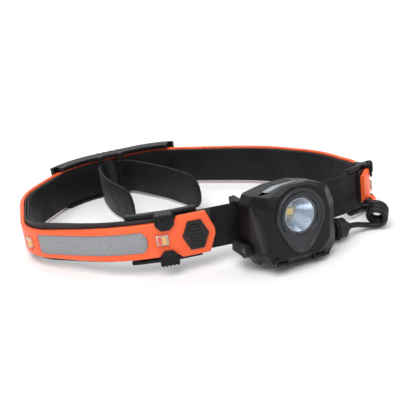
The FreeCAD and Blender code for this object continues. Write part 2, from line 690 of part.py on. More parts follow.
def build_electronics():
    length, radius = "dimensions.cell_length", "dimensions.cell_radius"
    for number in range(3):
        height = "dimensions.cell_low_z + %d * dimensions.cell_pitch" % number
        cell = rod("cell%d" % number, radius, length, ("-34.0", "dimensions.cell_y", height))
        cap = rod("cap%d" % number, "2.7", "0.9", ("9.99", "dimensions.cell_y", height))
        keep(plus("battery_%d" % (number + 1), [cell, cap]), "battery_%d" % (number + 1))
    left = box("left_contacts", ("0.5", "8", "27"), ("-34.6", "-13.3", "6"))
    right = box("right_contacts", ("0.5", "8", "27"), ("11.0", "-13.3", "6"))
    keep(left, "left_contact_plate")
    keep(right, "right_contact_plate")
    keep(box("board", ("28", "11.5", "1.0"), ("-28", "-19.5", "37")), "control_board")
    keep(box("tact", ("5", "4", "1.3"), ("-22.5", "-18.6", "38.05")), "lamp_button_switch")
    keep(box("wire_channel", ("10", "3", "8"), ("-4", "-20", "3")), "driver_coil")


def build_lamp_button():
    top = head_block(-0.5, REAR_Y, FACE_Y)
    button = button_prism(0, BUTTON_LOW_Z, 60).common(top)
    feature("lamp_button", button, HEAD_FRAME)


# ---------------------------------------------------------------- band button
def build_band_button():
    inner = dim("band_inner")
    mid = dim("hex_height") / 2
    place_at = stand(HEX_MIDDLE, 0, mid)
    bezel = hexagon(HEX_SOCKET + 1.2, HEX_SOCKET * 1.17 + 1.0, 0.8, (HEX_SOCKET + 1.2) * 0.5)
    bezel.translate(Vector(0, dim("band_outer") + 0.02, 0))
    neck = hexagon(HEX_SOCKET - 0.1, HEX_SOCKET * 1.17 - 0.1, 2.4, HEX_SOCKET * 0.5 - 0.05)
    neck.translate(Vector(0, dim("band_outer") - 2.3, 0))
    size = dim("hex_button_size")
    hole = hexagon(size + 0.3, size * 1.17 + 0.3, 8, (size + 0.3) * 0.5)
    bezel = bezel.fuse(neck).cut(hole)
    feature("band_button_bezel", bezel.removeSplitter(), place_at)
    cap = hexagon(size, size * 1.17, 2.3, size * 0.5)
    cap.translate(Vector(0, dim("band_outer") - 1.1, 0))
    for k in range(5):
        rib_z = (k - 2) * 2.2
        reach = size - 1.6 - abs(k - 2) * 0.5
        rib = Part.makeBox(2 * reach, 0.5, 1.0, Vector(-reach, dim("band_outer") + 1.1, rib_z - 0.5))
        cap = cap.fuse(rib)
    feature("band_button", cap.removeSplitter(), place_at)
    switch = Part.makeBox(4, 0.9, 4, Vector(-2, inner + 0.1, -2))
    switch.Placement = Placement()
    feature("band_button_switch", switch, place_at)


# ---------------------------------------------------------------- cable
# Route of the cable's free stretches: x and y from the lamp's middle, z above the surface.
LEAD = [(30.85, -12.0, 6.97), (35.8, -12.0, 6.49), (40.8, -11.4, 4.6), (45.4, -11.6, 3.1), (49.9, -14.7, 2.65)]
TAIL = [(54.3, -10.3, 14.7), (51.5, -7.5, 14.6), (51.1, -3.2, 14.0), (54.9, 0.6, 12.6), (58.9, 3.0, 11.6)]
COIL_START, COIL_AXIS = Vector(49.0, -15.6, 7.6), Vector(0.685, 0.688, 0.24).normalize()
COIL_TURNS, COIL_PITCH = 2.5, 3.6
PLUG_X = 19.5


def cable_tube(label, route):
    """Round cable on straight runs joined by arcs, each arc as large as its two runs allow."""
    points = [Vector(*point) for point in route]
    radii = []
    for before, corner, after in zip(points, points[1:], points[2:]):
        half_turn = (corner - before).getAngle(after - corner) / 2
        shorter = min(before.distanceToPoint(corner), corner.distanceToPoint(after))
        radii.append(0.45 * shorter / math.tan(half_turn))
    path = rounded_path(points, radii)
    radius = dim("cable_radius")
    ring = Part.Wire([Part.makeCircle(radius, points[0], points[1] - points[0])])
    tube = path.makePipeShell([ring], True, False)
    expected = math.pi * radius ** 2 * path.Length
    print("%s: length %.1f, radii %s, volume %.1f of %.1f" % (
        label, path.Length, ["%.1f" % radius for radius in radii], tube.Volume, expected))
    if abs(tube.Volume - expected) > 0.02 * expected:
        raise RuntimeError("%s has the wrong volume" % label)
    feature(label, tube)


def build_cable():
    axis_y, axis_z = dim("axis_y"), dim("axis_z")
    radius = dim("cable_radius")
    connector = across(6.0, PLUG_X, PLUG_X + 7.4, axis_y, axis_z)
    connector = connector.fuse(across(6.6, PLUG_X + 1.4, PLUG_X + 3.4, axis_y, axis_z))
    feature("cable_connector", connector.removeSplitter(), BRACKET_FRAME)
    relief_x = PLUG_X + 7.4
    relief = Part.makeCone(4.6, 2.6, 4.0, Vector(relief_x, axis_y, axis_z), Vector(1, 0, 0))
    feature("cable_strain_relief", relief, BRACKET_FRAME)
    cable_tube("cable_lead", LEAD)
    coil = Part.makeCylinder(dim("coil_radius"), COIL_TURNS * COIL_PITCH + 2 * radius,
                             COIL_START - COIL_AXIS * radius, COIL_AXIS)
    feature("cable_coil", coil)
    cable_tube("cable_tail", TAIL)
    mouth, before = Vector(*TAIL[-1]), Vector(*TAIL[-2])
    gland = Part.makeCylinder(GLAND_RADIUS, GLAND_LENGTH, mouth, mouth - before)
    gland = gland.cut(strip(BAND_RIGHT - 2, BAND_RIGHT + 20, 0, dim("band_outer"), 0, 30))
    feature("band_cable_gland", gland)


build_straps()
build_tails()
build_band()
build_band_lights()
build_clips()
build_rear()
build_housings()
build_door()
build_bracket()
build_optics()
build_electronics()
build_lamp_button()
build_band_button()
build_cable()

doc.recompute()
for node in NODES:
    shape = node.Shape
    if shape.isNull() or not shape.isValid() or "Invalid" in node.State or "Error" in node.State:
        raise RuntimeError("sub-part %s did not build: %s" % (node.Label, node.State))
    shape.exportStep("parts/%s.step" % node.Label)
    bounds = shape.BoundBox
    print("%-24s solids %d  x %.1f %.1f  y %.1f %.1f  z %.1f %.1f  vol %.0f" % (
        node.Label, len(shape.Solids), bounds.XMin, bounds.XMax, bounds.YMin, bounds.YMax,
        bounds.ZMin, bounds.ZMax, shape.Volume))
for obj in doc.Objects:
    if "Invalid" in obj.State or "Error" in obj.State:
        raise RuntimeError("%s is in a failed state" % obj.Label)
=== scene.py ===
import json
import math

import bmesh
import bpy
from mathutils import Matrix, Vector
from mathutils.bvhtree import BVHTree

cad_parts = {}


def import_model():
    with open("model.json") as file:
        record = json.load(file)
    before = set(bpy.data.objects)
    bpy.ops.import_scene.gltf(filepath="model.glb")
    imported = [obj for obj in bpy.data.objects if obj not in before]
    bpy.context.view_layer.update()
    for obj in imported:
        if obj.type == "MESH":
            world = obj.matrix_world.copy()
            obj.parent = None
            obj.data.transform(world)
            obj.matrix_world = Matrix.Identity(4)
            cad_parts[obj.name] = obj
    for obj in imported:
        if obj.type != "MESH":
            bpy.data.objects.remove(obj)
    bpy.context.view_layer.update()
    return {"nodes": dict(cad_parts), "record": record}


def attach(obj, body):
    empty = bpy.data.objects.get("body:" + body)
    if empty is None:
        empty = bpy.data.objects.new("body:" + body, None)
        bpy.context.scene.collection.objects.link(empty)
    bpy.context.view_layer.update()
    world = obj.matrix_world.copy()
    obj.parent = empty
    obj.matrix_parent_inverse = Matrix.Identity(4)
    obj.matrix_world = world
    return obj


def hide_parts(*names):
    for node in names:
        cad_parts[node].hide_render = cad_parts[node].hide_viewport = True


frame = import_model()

nodes = frame["nodes"]
scene = bpy.context.scene
MM = 0.001


# ---------------------------------------------------------------- the headlamp's own plan frame
# Lengths below are millimetres in the lamp's plan frame: x and y from the middle of the lamp,
# z above the surface. A station is a distance along the strap from the middle of the lamp,
# positive towards +X and on round the back; an offset is measured outwards from the strap.
LAMP_X, LAMP_Y = 32.6, -78.3


def world(x, y, z):
    """Point of the plan frame, in metres in the row frame."""
    return Vector(((x + LAMP_X) * MM, (y + LAMP_Y) * MM, z * MM))


class StrapLoop:
    """Closed loop in plan that the strap follows: straight runs joined by arcs."""

    def __init__(self, corners):
        count = len(corners)
        points = [Vector((x, y)) for x, y, _ in corners]
        radii = [radius for _, _, radius in corners]
        heads = [(points[(i + 1) % count] - points[i]).normalized() for i in range(count)]
        turns = [heads[i - 1].angle(heads[i]) for i in range(count)]
        cuts = [radii[i] * math.tan(turns[i] / 2) for i in range(count)]
        self.runs = []
        start = 0.0
        for i in range(count):
            after = (i + 1) % count
            length = (points[after] - points[i]).length - cuts[i] - cuts[after]
            first = points[i] + heads[i] * cuts[i]
            self.runs.append(("line", start, length, first, heads[i], 0.0))
            start += length
            inward = Vector((-heads[i].y, heads[i].x))
            centre = first + heads[i] * length + inward * radii[after]
            angle = math.atan2(-inward.y, -inward.x)
            self.runs.append(("arc", start, turns[after] * radii[after], centre, angle, radii[after]))
            start += turns[after] * radii[after]
        self.length = start
        self.zero = 0.0
        low, high = self.length - 80.0, self.length - 20.0
        for _ in range(60):
            middle = (low + high) / 2
            if self.at(middle)[0].x < 0:
                low = middle
            else:
                high = middle
        self.zero = low

    def at(self, station):
        """Point on the strap's middle surface and its outward direction."""
        distance = (station + self.zero) % self.length
        run = next((r for r in self.runs if distance <= r[1] + r[2] + 1e-9), self.runs[-1])
        kind, start, _, base, direction, radius = run
        if kind == "line":
            return base + direction * (distance - start), Vector((direction.y, -direction.x))
        angle = direction + (distance - start) / radius
        outward = Vector((math.cos(angle), math.sin(angle)))
        return base + outward * radius, outward


LOOP = StrapLoop([(5, -2.5, 170), (64, 11, 17), (70, 60, 75), (42, 112, 150), (-14, 172, 48),
                  (-82, 182, 48), (-122, 146, 50), (-135, 96, 42), (-92, 24, 70)])
FULL = LOOP.length
SAG = [(-70, 10.0), (-2, 10.0), (20, 6.0), (40, 3.0), (65, 1.0), (110, 2.5), (240, 2.5)]
TILT = math.radians(17.0)


def edge_height(point):
    """Height of the strap's lower edge at a point in plan."""
    distance = point.x * math.sin(TILT) + point.y * math.cos(TILT)
    for (d0, z0), (d1, z1) in zip(SAG, SAG[1:]):
        if distance <= d1:
            return z0 + (z1 - z0) * max(0.0, distance - d0) / (d1 - d0)
    return SAG[-1][1]


def on_strap(station, offset, height):
    point, outward = LOOP.at(station)
    spot = point + outward * offset
    return world(spot.x, spot.y, edge_height(point) + height)


def span(first, last, step):
    """Evenly spaced values from first to last, about a step apart."""
    count = max(1, round(abs(last - first) / step))
    return [first + (last - first) * i / count for i in range(count + 1)]


def smooth_step(value, low, high):
    t = min(1.0, max(0.0, (value - low) / (high - low)))
    return t * t * (3 - 2 * t)


HEAD_PIVOT = Vector((-11.0, -10.0, 8.5))
HEAD_SHIFT = Vector((0.0, -2.0, 2.5))
HEAD_TURN = Matrix.Rotation(math.radians(5.5), 3, "Y") @ Matrix.Rotation(math.radians(-6.0), 3, "X")


def in_head(x, y, z):
    """Point of the lamp head's own frame (x along its tilt axis, -y out of the lens)."""
    spot = HEAD_PIVOT + HEAD_SHIFT + HEAD_TURN @ (Vector((x, y, z)) - HEAD_PIVOT)
    return world(*spot)


# ---------------------------------------------------------------- camera
def make_camera():
    """Camera to the left of the lamp's face and a little above it, with the horizon tilted."""
    turn, pitch, roll = math.radians(24.0), math.radians(21.0), math.radians(8.0)
    right = Vector((math.cos(turn), -math.sin(turn), 0.0))
    forward = Vector((math.sin(turn) * math.cos(pitch), math.cos(turn) * math.cos(pitch), -math.sin(pitch)))
    up = right.cross(forward)
    axis_x = right * math.cos(roll) - up * math.sin(roll)
    axis_y = right * math.sin(roll) + up * math.cos(roll)
    data = bpy.data.cameras.new("camera")
    data.sensor_width = 36.0
    data.lens = 60.58
    data.clip_start = 0.01
    camera = bpy.data.objects.new("camera", data)
    scene.collection.objects.link(camera)
    turned = Matrix((axis_x, axis_y, -forward)).transposed().to_4x4()
    camera.matrix_world = Matrix.Translation(world(-198.8, -327.5, 177.4)) @ turned
    scene.camera = camera


make_camera()


# ---------------------------------------------------------------- materials
class Shader:
    """Small builder of one node-based material."""

    def __init__(self, name, color, rough, metallic=0.0, specular=0.5):
        self.material = bpy.data.materials.new(name)
        self.material.use_nodes = True
        self.tree = self.material.node_tree
        self.surface = self.tree.nodes["Principled BSDF"]
        self.set("Base Color", (*color, 1.0))
        self.set("Roughness", rough)
        self.set("Metallic", metallic)
        self.set("Specular IOR Level", specular)
        self.where = self.add("ShaderNodeTexCoord").outputs["Object"]

    def set(self, socket, value):
        """Put a plain value on one of the shader's own sockets."""
        self.surface.inputs[socket].default_value = value
        return self

    def add(self, kind, **settings):
        """Add a node; each setting is one of its properties or, failing that, one of its inputs."""
        node = self.tree.nodes.new(kind)
        for key, value in settings.items():
            if hasattr(node, key):
                setattr(node, key, value)
            else:
                node.inputs[key.replace("_", " ")].default_value = value
        return node

    def link(self, out, into):
        self.tree.links.new(out, into)

    def noise(self, scale, detail=3.0, rough=0.55, stretch=None):
        texture = self.add("ShaderNodeTexNoise", Scale=scale, Detail=detail, Roughness=rough)
        if stretch:
            mapping = self.add("ShaderNodeMapping")
            mapping.inputs["Scale"].default_value = stretch
            self.link(self.where, mapping.inputs["Vector"])
            self.link(mapping.outputs["Vector"], texture.inputs["Vector"])
        else:
            self.link(self.where, texture.inputs["Vector"])
        return texture.outputs["Fac"]

    def cells(self, scale, output="Distance"):
        texture = self.add("ShaderNodeTexVoronoi", feature="F1", Scale=scale)
        self.link(self.where, texture.inputs["Vector"])
        return texture.outputs[output]

    def ramp(self, value, *stops):
        """Color ramp through (position, color) stops."""
        node = self.add("ShaderNodeValToRGB")
        elements = node.color_ramp.elements
        while len(elements) < len(stops):
            elements.new(0.5)
        for element, (position, color) in zip(elements, stops):
            element.position = position
            element.color = (*color, 1.0) if len(color) == 3 else color
        self.link(value, node.inputs["Fac"])
        return node.outputs["Color"]

    def spread(self, value, low, high):
        """Stretch the middle of a texture's range to run from low to high."""
        node = self.add("ShaderNodeMapRange")
        for socket, number in (("From Min", 0.35), ("From Max", 0.65), ("To Min", low), ("To Max", high)):
            node.inputs[socket].default_value = number
        self.link(value, node.inputs["Value"])
        return node.outputs["Result"]

    def color(self, value):
        self.link(value, self.surface.inputs["Base Color"])
        return self

    def rough(self, value):
        self.link(value, self.surface.inputs["Roughness"])
        return self

    def bump(self, *layers):
        """Bump from (height, strength, distance in mm) layers, the last one on top."""
        normal = None
        for height, strength, distance in layers:
            node = self.add("ShaderNodeBump", Strength=strength, Distance=distance * MM)
            self.link(height, node.inputs["Height"])
            if normal:
                self.link(normal, node.inputs["Normal"])
            normal = node.outputs["Normal"]
        self.link(normal, self.surface.inputs["Normal"])
        return self


def strap_material():
    """Matt elastic strap with a fine grain and slight cloudiness."""
    s = Shader("strap_rubber", (0.008, 0.008, 0.010), 0.55, specular=0.22)
    cloudy = s.noise(60, 4)
    s.color(s.ramp(cloudy, (0.3, (0.003, 0.0032, 0.0042)), (0.7, (0.008, 0.0085, 0.010))))
    s.rough(s.spread(s.noise(180, 4), 0.48, 0.66))
    s.bump((s.noise(2600, 2), 0.35, 0.06), (s.noise(240, 3), 0.12, 0.2))
    s.set("Sheen Weight", 0.06)
    s.set("Sheen Roughness", 0.4)
    return s.material


def orange_material():
    """Satin moulded rubber that lets a little light in."""
    s = Shader("band_orange", (0.95, 0.13, 0.03), 0.42, specular=0.45)
    cloudy = s.noise(45, 4)
    s.color(s.ramp(cloudy, (0.25, (0.90, 0.105, 0.022)), (0.75, (0.98, 0.150, 0.038))))
    s.rough(s.spread(s.noise(150, 4), 0.36, 0.52))
    s.bump((s.noise(3000, 2), 0.25, 0.05), (s.noise(160, 3), 0.1, 0.2))
    s.set("Subsurface Weight", 0.08)
    s.set("Subsurface Radius", (0.004, 0.0015, 0.0006))
    s.set("Subsurface Scale", 0.5)
    return s.material


def tape_material():
    """Silver reflective tape: fine glass beads under a clear film."""
    s = Shader("reflective_tape", (0.36, 0.37, 0.39), 0.5, specular=0.4)
    beads = s.cells(1500, output="Color")
    bead_value = s.add("ShaderNodeRGBToBW")
    s.link(beads, bead_value.inputs["Color"])
    s.color(s.ramp(bead_value.outputs["Val"], (0.15, (0.24, 0.25, 0.265)), (0.55, (0.275, 0.285, 0.30)),
                   (0.9, (0.33, 0.34, 0.355))))
    s.rough(s.spread(s.noise(400, 3), 0.35, 0.55))
    s.bump((s.cells(1500), 0.25, 0.04))
    return s.material


def moulded(name, color, rough, grain=2200, grain_depth=0.08, specular=0.5):
    """Spark-eroded moulded plastic: a fine grain, slight wear and colour variation."""
    s = Shader(name, color, rough, specular=specular)
    light = tuple(min(1.0, c * 1.35 + 0.003) for c in color)
    s.color(s.ramp(s.noise(70, 4), (0.3, tuple(c * 0.8 for c in color)), (0.72, light)))
    s.rough(s.spread(s.noise(210, 4), rough - 0.07, rough + 0.08))
    s.bump((s.noise(grain, 2), 0.5, grain_depth), (s.noise(130, 3), 0.08, 0.3))
    return s.material


def metal(name, color, rough):
    """Metal with fine lines along its height."""
    s = Shader(name, color, rough, metallic=1.0)
    s.rough(s.spread(s.noise(900, 3, stretch=(1, 12, 1)), rough * 0.7, rough * 1.4))
    s.bump((s.noise(1400, 2, stretch=(1, 14, 1)), 0.2, 0.03))
    return s.material


def clear(name, color, rough):
    """See-through plastic or glass with slightly uneven gloss."""
    s = Shader(name, color, rough, specular=0.6)
    s.set("Transmission Weight", 1.0)
    s.set("IOR", 1.45)
    s.rough(s.spread(s.noise(300, 3), rough, rough + 0.05))
    return s.material


def glow(name, color, strength):
    """Lit-looking chip: its own colour with a weak emission."""
    s = Shader(name, color, 0.35)
    s.color(s.ramp(s.noise(900, 2), (0.3, tuple(c * 0.8 for c in color)), (0.7, color)))
    s.set("Emission Color", (*color, 1.0))
    s.set("Emission Strength", strength)
    return s.material


def printed(name, dark, light, scale):
    """Surface with a fine pattern of spots between two colours."""
    s = Shader(name, dark, 0.4)
    s.color(s.ramp(s.cells(scale), (0.2, dark), (0.6, light)))
    s.bump((s.noise(scale, 2), 0.2, 0.05))
    return s.material


STRAP = strap_material()
ORANGE = orange_material()
TAPE = tape_material()
HEAD = moulded("head_plastic", (0.0035, 0.0038, 0.0046), 0.36, 2600, 0.05, specular=0.22)
HEAD_SATIN = moulded("head_satin", (0.010, 0.0105, 0.012), 0.33, 2600, 0.02, specular=0.35)
CERAMIC = moulded("ceramic", (0.62, 0.66, 0.70), 0.4, grain_depth=0.01)
CLIP = moulded("clip_plastic", (0.0045, 0.0047, 0.0055), 0.38, 2200, 0.06, specular=0.24)
BEZEL = moulded("bezel_grey", (0.019, 0.021, 0.024), 0.36, 2600, 0.03, specular=0.35)
PANEL = moulded("button_grey", (0.25, 0.275, 0.295), 0.5, 2400, 0.05)
CABLE = moulded("cable_black", (0.007, 0.007, 0.008), 0.46, 1800, 0.05, specular=0.3)
BUTTON = moulded("band_button_black", (0.008, 0.008, 0.009), 0.36, 2200, 0.05, specular=0.3)
BACKING = moulded("backing_rubber", (0.016, 0.016, 0.018), 0.6, 1500, 0.1)
SEAL = moulded("seal_rubber", (0.02, 0.02, 0.02), 0.6, 1500, 0.08)
STEEL = metal("pin_steel", (0.16, 0.16, 0.17), 0.32)
CONTACT = metal("contact_metal", (0.66, 0.64, 0.58), 0.3)
CHROME = metal("reflector_chrome", (0.66, 0.71, 0.77), 0.24)
LENS = clear("main_lens_clear", (0.93, 0.96, 1.0), 0.02)
BAND_LENS = clear("clear_lens", (1.0, 0.86, 0.80), 0.08)
LED_YELLOW = glow("led_yellow", (0.95, 0.66, 0.16), 0.25)
LED_RED = glow("red_led", (0.90, 0.10, 0.06), 0.3)
LIGHT_BASE = moulded("light_base", (0.90, 0.74, 0.68), 0.3, grain_depth=0.02)
FLEX = printed("flex_amber", (0.30, 0.12, 0.02), (0.42, 0.19, 0.04), 600)
BOARD = printed("board_green", (0.02, 0.14, 0.05), (0.03, 0.20, 0.08), 900)
CELL = printed("cell_jacket", (0.05, 0.055, 0.07), (0.09, 0.095, 0.12), 500)
SWITCH = moulded("switch_black", (0.02, 0.02, 0.022), 0.4)
SLOTS = {"strap_rubber": STRAP, "band_orange": ORANGE, "backing_rubber": BACKING, "flex_amber": FLEX,
         "reflective_tape": TAPE, "clear_lens": BAND_LENS, "red_led": LED_RED, "clip_plastic": CLIP,
         "pin_steel": STEEL, "head_plastic": HEAD, "bezel_grey": BEZEL, "main_lens_clear": LENS,
         "seal_rubber": SEAL, "reflector_chrome": CHROME, "board_green": BOARD, "led_yellow": LED_YELLOW,
         "cell_jacket": CELL, "contact_metal": CONTACT, "switch_black": SWITCH, "button_grey": PANEL,
         "band_button_black": BUTTON, "cable_black": CABLE}


# ---------------------------------------------------------------- mesh helpers
def finish_piece(obj, material, body, replaced=(), sharp=40.0):
    """Shade a new piece, give it its material, attach it to its body and hide the CAD parts it replaces."""
    obj.data.materials.append(material)
    if obj.type == "MESH":
        obj.data.shade_smooth()
        obj.data.set_sharp_from_angle(angle=math.radians(sharp))
    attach(obj, body)
    if replaced:
        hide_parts(*replaced)
    return obj


def mesh_object(name, points, faces):
    """Mesh with doubled points merged and its faces turned outwards."""
    data = bpy.data.meshes.new(name)
    data.from_pydata([tuple(p) for p in points], [], faces)
    data.validate()
    obj = bpy.data.objects.new(name, data)
    scene.collection.objects.link(obj)
    shape = bmesh.new()
    shape.from_mesh(data)
    bmesh.ops.remove_doubles(shape, verts=shape.verts, dist=0.002 * MM)
    bmesh.ops.recalc_face_normals(shape, faces=shape.faces)
    shape.to_mesh(data)
    shape.free()
    return obj


def tube_faces(rows, count, closed=False):
    """Quads between successive rings of count points, with flat caps unless closed."""
    faces = []
    for i in range(rows if closed else rows - 1):
        for j in range(count):
            a, b = i * count + j, i * count + (j + 1) % count
            c, d = ((i + 1) % rows) * count + (j + 1) % count, ((i + 1) % rows) * count + j
            faces.append((a, b, c, d))
    if not closed:
        faces.append(tuple(range(count)))
        faces.append(tuple(range((rows - 1) * count, rows * count)))
    return faces


def sweep(name, stations, ring_at):
    """Closed body along the strap; ring_at(station) lists (offset, height) points of its section."""
    points = []
    count = 0
    for station in stations:
        ring = ring_at(station)
        count = len(ring)
        points += [on_strap(station, offset, height) for offset, height in ring]
    return mesh_object(name, points, tube_faces(len(stations), count))


def rounded_box(inner, outer, low, high, radius, steps=4):
    """Section of a bar with rounded edges, as (offset, height) points."""
    radius = min(radius, (outer - inner) / 2 - 0.01, (high - low) / 2 - 0.01)
    ring = []
    corners = [(outer - radius, low + radius, -90), (outer - radius, high - radius, 0),
               (inner + radius, high - radius, 90), (inner + radius, low + radius, 180)]
    for offset, height, start in corners:
        for i in range(steps + 1):
            angle = math.radians(start + 90 * i / steps)
            ring.append((offset + radius * math.cos(angle), height + radius * math.sin(angle)))
    return ring


def eased_ends(first, last, step, ease):
    """Stations of a bar, packed closely over the rounding at both ends."""
    curve = [ease * (1 - math.cos(math.pi / 2 * i / 5)) for i in range(6)]
    return [first + c for c in curve] + span(first + ease, last - ease, step)[1:-1] + \
        [last - c for c in reversed(curve)]


def bar(name, first, last, inner, outer, low, high, radius, step=2.0):
    """Bar along the strap whose edges and ends are all rounded."""
    def ring(station):
        near = min(station - first, last - station, radius)
        pull = radius - math.sqrt(max(0.0, radius ** 2 - (radius - near) ** 2))
        return rounded_box(inner + pull, outer - pull, low + pull, high - pull, radius)
    return sweep(name, eased_ends(first, last, step, radius), ring)


def joined(name, pieces):
    """One mesh object out of several."""
    shape = bmesh.new()
    for piece in pieces:
        shape.from_mesh(piece.data)
        bpy.data.objects.remove(piece)
    data = bpy.data.meshes.new(name)
    shape.to_mesh(data)
    shape.free()
    obj = bpy.data.objects.new(name, data)
    scene.collection.objects.link(obj)
    return obj


def soften(obj, width, segments=3, angle=35.0):
    """Round a CAD part's edges with a modifier that leaves its mesh as it is."""
    bevel = obj.modifiers.new("edges", "BEVEL")
    bevel.width = width * MM
    bevel.segments = segments
    bevel.limit_method = "ANGLE"
    bevel.angle_limit = math.radians(angle)
    bevel.use_clamp_overlap = True
    bevel.harden_normals = True


# ---------------------------------------------------------------- cable
# Route of the cable, as points of its control line in the plan frame.
CABLE_RADIUS = 1.7
LEAD = [(30.85, -12.0, 6.97), (35.8, -12.0, 6.49), (40.8, -11.4, 4.6), (45.4, -11.6, 3.1)]
TAIL = [(51.5, -7.5, 14.6), (51.1, -3.2, 14.0), (54.9, 0.6, 12.6), (58.9, 3.0, 11.6)]
COIL_START = Vector((49.0, -15.6, 7.6))
COIL_AXIS = Vector((0.685, 0.688, 0.24)).normalized()
COIL_RADIUS, COIL_TURNS, COIL_PITCH = 5.1, 2.5, 3.6
POINTS_PER_TURN = 16


def coil_points():
    """Turns of the coil from their lowest point, round towards +X first."""
    down = Vector((0, 0, -1))
    down = (down - COIL_AXIS * down.dot(COIL_AXIS)).normalized()
    side = COIL_AXIS.cross(down)
    points = []
    steps = round(COIL_TURNS * POINTS_PER_TURN)
    for i in range(steps + 1):
        angle = 2 * math.pi * i / POINTS_PER_TURN
        turned = down * math.cos(angle) - side * math.sin(angle)
        points.append(COIL_START + COIL_AXIS * (COIL_PITCH * i / POINTS_PER_TURN) + turned * COIL_RADIUS)
    return points


def make_cable():
    """One round cable: the lead from the lamp, the coil's turns and the tail into the band."""
    route = [Vector(p) for p in LEAD] + coil_points() + [Vector(p) for p in TAIL]
    data = bpy.data.curves.new("cable", "CURVE")
    data.dimensions = "3D"
    data.bevel_depth = CABLE_RADIUS * MM
    data.bevel_resolution = 6
    data.resolution_u = 8
    data.use_fill_caps = True
    spline = data.splines.new("NURBS")
    spline.points.add(len(route) - 1)
    for point, spot in zip(spline.points, route):
        point.co = (*world(*spot), 1.0)
    spline.order_u = 3
    spline.use_endpoint_u = True
    cable = bpy.data.objects.new("cable", data)
    scene.collection.objects.link(cable)
    data.materials.append(CABLE)
    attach(cable, "headband")
    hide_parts("cable_lead", "cable_coil", "cable_tail")


make_cable()

# ---------------------------------------------------------------- straps
STRAP_HALF, STRAP_WIDTH, STRAP_EDGE = 0.8, 25.0, 0.6
REAR_BARS = (278.4, 293.6)
TIP_FULLNESS, TIP_DROOP, LOWEST = 0.97, 0.6, 0.4


STRAP_PARTS = (("front_strap", -97.0, 62.0), ("right_strap", 62.0, 276.0),
               ("left_strap", 296.0, FULL - 97.0))


def make_straps():
    """The strap's three stretches, each a long bar with rounded edges."""
    section = rounded_box(-STRAP_HALF, STRAP_HALF, 0.0, STRAP_WIDTH, STRAP_EDGE)
    for label, first, last in STRAP_PARTS:
        strap = sweep("strap_" + label.split("_")[0], span(first, last, 2.0), lambda station: section)
        finish_piece(strap, STRAP, "headband", (label,))


def spline_points(corners):
    """Smooth line through a list of corners (Catmull-Rom)."""
    corners = [Vector(c) for c in corners]
    padded = [corners[0] * 2 - corners[1]] + corners + [corners[-1] * 2 - corners[-2]]
    per_span = 10
    line = []
    for a, b, c, d in zip(padded, padded[1:], padded[2:], padded[3:]):
        for i in range(per_span):
            t = i / per_span
            line.append(0.5 * (2 * b + (c - a) * t + (2 * a - 5 * b + 4 * c - d) * t * t
                               + (3 * b - a - 3 * c + d) * t ** 3))
    return line + [corners[-1]]


# Way round an adjuster bar, as (distance along the strap, offset) from the bar.
ROUND_BAR = ((-3.2, 0.0), (0.6, 0.0), (2.9, -0.5), (3.7, -2.3), (2.2, -4.2), (-0.4, -4.8))


def make_tail(name, node, bar_station, direction, corners, tip):
    """Strap's free end: round its adjuster bar and on into the loop, with a rounded tip."""
    around = []
    for along, offset in ROUND_BAR:
        point, outward = LOOP.at(bar_station + direction * along)
        around.append(point + outward * offset)
    line = spline_points(around + [Vector(c) for c in corners])
    lengths = [0.0]
    for a, b in zip(line, line[1:]):
        lengths.append(lengths[-1] + (b - a).length)
    low, high = SAG[-1][1], SAG[-1][1] + STRAP_WIDTH
    points = []
    for i, spot in enumerate(line):
        heading = (line[min(i + 1, len(line) - 1)] - line[max(i - 1, 0)]).normalized()
        outward = Vector((heading.y, -heading.x))
        near = min(lengths[-1] - lengths[i], tip)
        pull = (tip - math.sqrt(max(0.0, tip ** 2 - (tip - near) ** 2))) * TIP_FULLNESS
        droop = TIP_DROOP * smooth_step(lengths[i], 20, lengths[-1])
        for offset, height in rounded_box(-STRAP_HALF, STRAP_HALF, low + pull, high - pull, STRAP_EDGE):
            side = spot + outward * offset
            points.append(world(side.x, side.y, max(height - droop, LOWEST)))
    tail = mesh_object(name, points, tube_faces(len(line), 20))
    finish_piece(tail, STRAP, "headband", (node,))


make_straps()
make_tail("tail_left", "left_strap_tail", REAR_BARS[1], -1,
          [(-63.6, 164), (-66.2, 150), (-67.4, 131), (-65.6, 113), (-64.2, 104), (-63.5, 98)], 10.5)
make_tail("tail_right", "right_strap_tail", REAR_BARS[0], 1,
          [(-38.4, 164), (-33.8, 152), (-26.3, 131), (-21.3, 109), (-19.2, 96), (-18, 88)], 11.5)

# ---------------------------------------------------------------- light band
BAND_INNER, BAND_OUTER = 2.7, 5.4
BAND_RIGHT, HEX_MIDDLE = 55.0, FULL - 58.5
NECK, HEX_TIP = FULL - 68.5, FULL - 47.2
NECK_HALF, HEX_HALF = 10.4, 12.6
LIGHTS = (("front_left", FULL - 76.8, 12.5), ("left", FULL - 172.0, 12.0),
          ("right", 172.0, 12.0), ("front_right", 69.0, 12.0))
TAPES = (("left", FULL - 163.0, FULL - 84.5), ("right", 84.5, 163.0))
HEX_MID_HEIGHT, TAPE_MIDDLE, TAPE_HALF, TAPE_DEPTH = 12.75, 12.4, 6.7, 0.75


